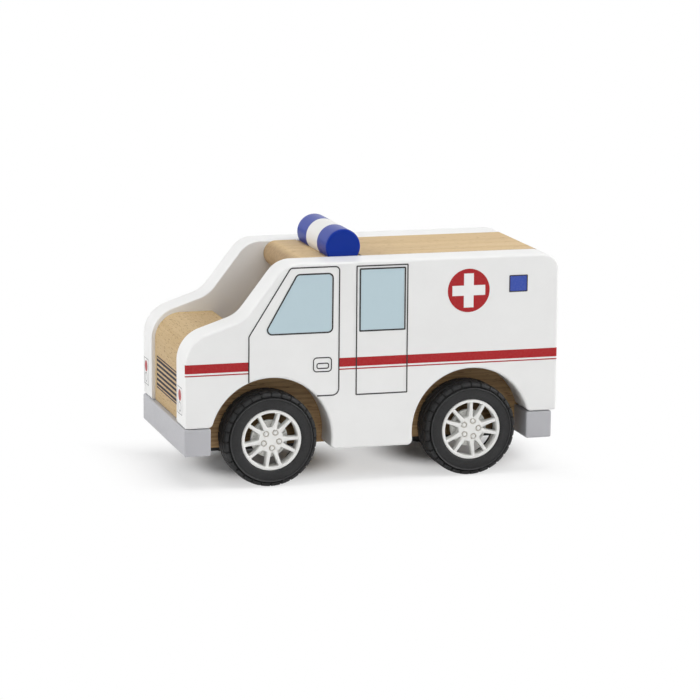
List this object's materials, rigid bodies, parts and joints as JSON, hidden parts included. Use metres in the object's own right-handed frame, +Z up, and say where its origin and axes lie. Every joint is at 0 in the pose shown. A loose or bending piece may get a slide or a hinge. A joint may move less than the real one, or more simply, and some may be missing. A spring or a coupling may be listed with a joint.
{
  "type": "toy ambulance",
  "caption": "Chunky wooden toy ambulance with white side panels, an open cab, bumpers, a roof light bar and free-rolling wheels with treaded tyres.",
  "frame": {"origin": "on the floor below the middle of the toy's length and width", "axes": "+X to the front bumper, +Y to the toy's left side, +Z up"},
  "size_m": [0.13, 0.064, 0.084],
  "materials": {
    "core_wood": "clear satin lacquer on beech",
    "white_lacquer": "white satin lacquer on wood, printed on the outer face",
    "grey_lacquer": "grey satin lacquer on wood",
    "blue_lacquer": "blue satin lacquer on wood with a white band",
    "dowel_wood": "raw beech",
    "black_plastic": "moulded, matt",
    "screw_steel": "zinc plated",
    "axle_steel": "drawn",
    "rim_plastic": "moulded, semi-gloss",
    "disc_plastic": "moulded, semi-gloss",
    "tyre_rubber": "moulded, matt"
  },
  "bodies": {
    "chassis": {"core_block": "core_wood", "side_panel_left": "white_lacquer", "side_panel_right": "white_lacquer", "front_bumper": "grey_lacquer", "rear_bumper": "grey_lacquer", "light_bar": "blue_lacquer", "panel_dowels": "dowel_wood", "bumper_dowels": "dowel_wood", "light_bar_dowels": "dowel_wood", "front_axle_box": "black_plastic", "rear_axle_box": "black_plastic", "axle_box_screws": "screw_steel"},
    "front_wheels": {"front_axle": "axle_steel", "front_left_rim": "rim_plastic", "front_right_rim": "rim_plastic", "front_left_tyre": "tyre_rubber", "front_right_tyre": "tyre_rubber", "front_left_disc": "disc_plastic", "front_right_disc": "disc_plastic"},
    "rear_wheels": {"rear_axle": "axle_steel", "rear_left_rim": "rim_plastic", "rear_right_rim": "rim_plastic", "rear_left_tyre": "tyre_rubber", "rear_right_tyre": "tyre_rubber", "rear_left_disc": "disc_plastic", "rear_right_disc": "disc_plastic"}
  },
  "joints": [
    {"name": "front_axle_spin", "type": "hinge", "parent": "chassis", "child": "front_wheels", "pos_m": [0.0353, 0, 0.016], "axis": [0, 1, 0], "continuous": true},
    {"name": "rear_axle_spin", "type": "hinge", "parent": "chassis", "child": "rear_wheels", "pos_m": [-0.0345, 0, 0.016], "axis": [0, 1, 0], "continuous": true}
  ]
}
